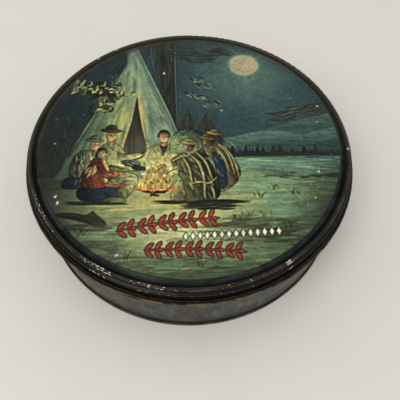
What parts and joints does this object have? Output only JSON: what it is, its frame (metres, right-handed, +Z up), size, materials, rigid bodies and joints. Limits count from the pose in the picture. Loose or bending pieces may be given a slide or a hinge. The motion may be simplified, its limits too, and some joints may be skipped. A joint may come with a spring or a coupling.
{
  "type": "round slip-lid tin",
  "caption": "Shallow round tin box with a printed slip-on lid, beaded skirt and curled hem, over a plain cylindrical body with a double-seamed bottom.",
  "frame": {"origin": "centre of the resting plane, under the bottom seam", "axes": "+Z up along the tin's axis, -Y towards the foot of the picture on the lid, +X to the picture's right"},
  "size_m": [0.2, 0.2, 0.0535],
  "materials": {
    "border_enamel": "gloss black enamel, chipped to bright metal along the crest and rubbed brown along the hem",
    "printed_picture": "lithographed night landscape under gloss varnish, with small chips",
    "bare_tinplate": "aged tinplate, dull, with brown and blue-grey patches",
    "stained_tinplate": "aged tinplate, darkened brown along the seam",
    "solder": "dull grey solder"
  },
  "bodies": {
    "tin_body": {"body_wall": "bare_tinplate", "body_bottom": "stained_tinplate", "side_seam_solder": "solder"},
    "lid": {"lid_shell": "border_enamel"}
  },
  "joints": [
    {"name": "lid_lift", "type": "slide", "parent": "tin_body", "child": "lid", "axis": [0, 0, 1], "range_m": [0, 0.06]}
  ]
}
